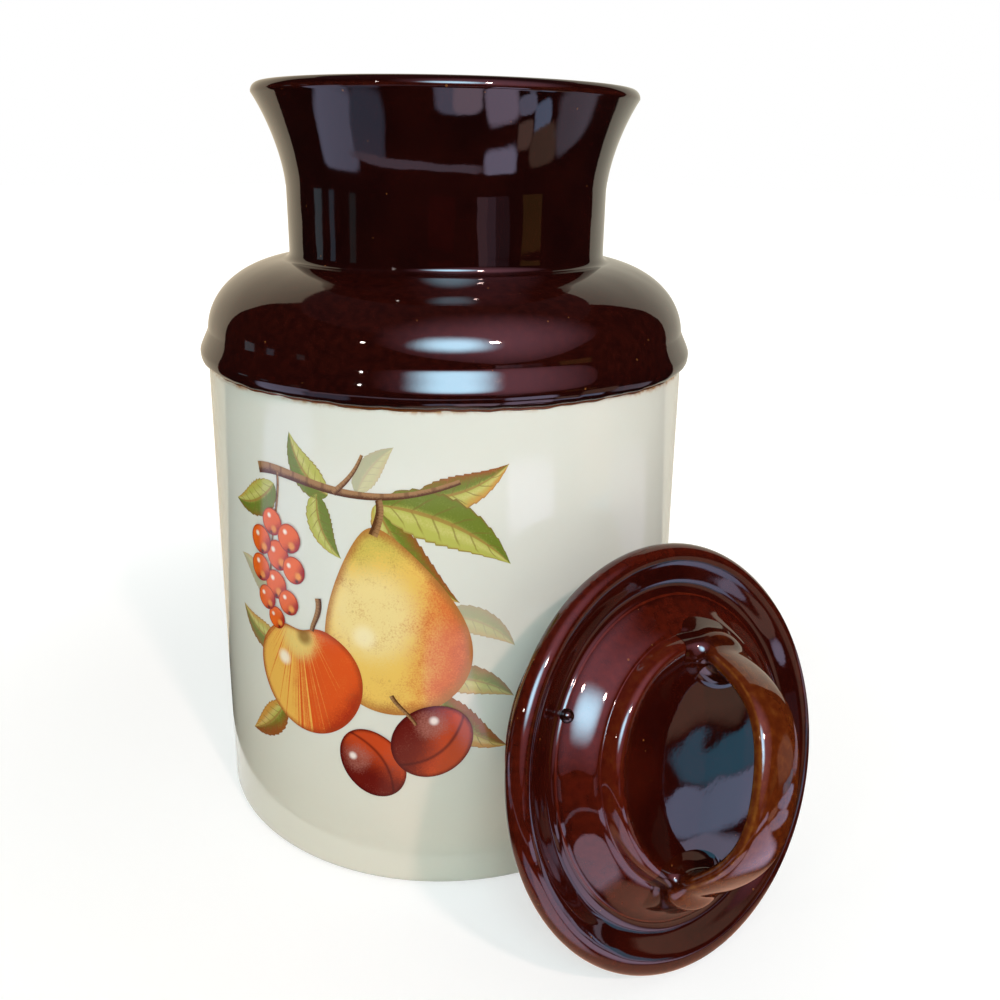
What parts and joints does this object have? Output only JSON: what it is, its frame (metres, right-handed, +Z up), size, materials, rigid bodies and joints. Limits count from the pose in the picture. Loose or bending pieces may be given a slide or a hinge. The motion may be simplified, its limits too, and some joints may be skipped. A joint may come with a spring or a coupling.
{
  "type": "cookie jar",
  "caption": "Glazed stoneware cookie jar in milk-can form: cream body, brown shoulder, neck and flared mouth, and a lift-off stepped lid with a strap handle, set leaning against it.",
  "frame": {"origin": "centre of the jar's flat base, on the jar's axis", "axes": "+Z up along the jar's axis, -Y from the jar towards the lid that leans on it, +X to the right seen from the lid's side"},
  "size_m": [0.1738, 0.2532, 0.2566],
  "materials": {
    "cream_glaze": "glossy cream glaze, faintly warmer towards the base",
    "brown_glaze": "very glossy dark red-brown glaze, amber where it breaks over edges"
  },
  "bodies": {
    "jar": {"jar_body": "cream_glaze", "shoulder_glaze": "brown_glaze"},
    "lid": {"lid_shell": "brown_glaze", "lid_handle": "brown_glaze"}
  },
  "joints": [
    {"name": "lid_lift", "type": "slide", "parent": "jar", "child": "lid", "axis": [0, -0.9511, 0.309], "range_m": [0, 0.12]}
  ]
}
